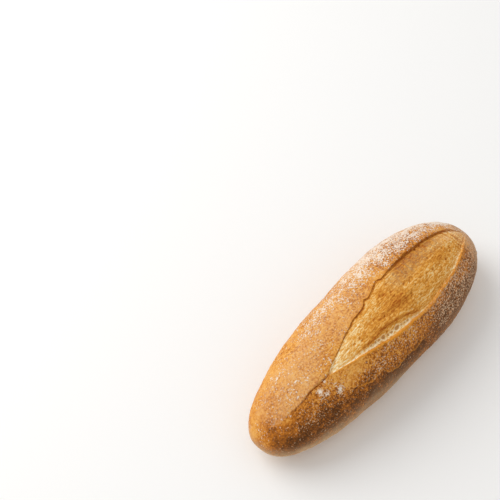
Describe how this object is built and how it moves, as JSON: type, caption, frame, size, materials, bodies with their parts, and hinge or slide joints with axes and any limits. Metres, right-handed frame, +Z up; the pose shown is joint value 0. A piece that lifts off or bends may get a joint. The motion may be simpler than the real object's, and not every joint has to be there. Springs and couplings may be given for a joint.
{
  "type": "mini baguette",
  "caption": "Mini baguette: a small golden-brown loaf with flour on its crust and a long cut that opened along the top.",
  "frame": {"origin": "middle of the loaf's box, at the base it rests on", "axes": "+X along the loaf to its broad end, +Y to the side of the overhanging flap, +Z up"},
  "size_m": [0.18, 0.0616, 0.0491],
  "materials": {
    "crust": "matte baked crust with flour, and a golden crumb in the opened cut"
  },
  "bodies": {
    "root": {"loaf": "crust"}
  },
  "joints": []
}
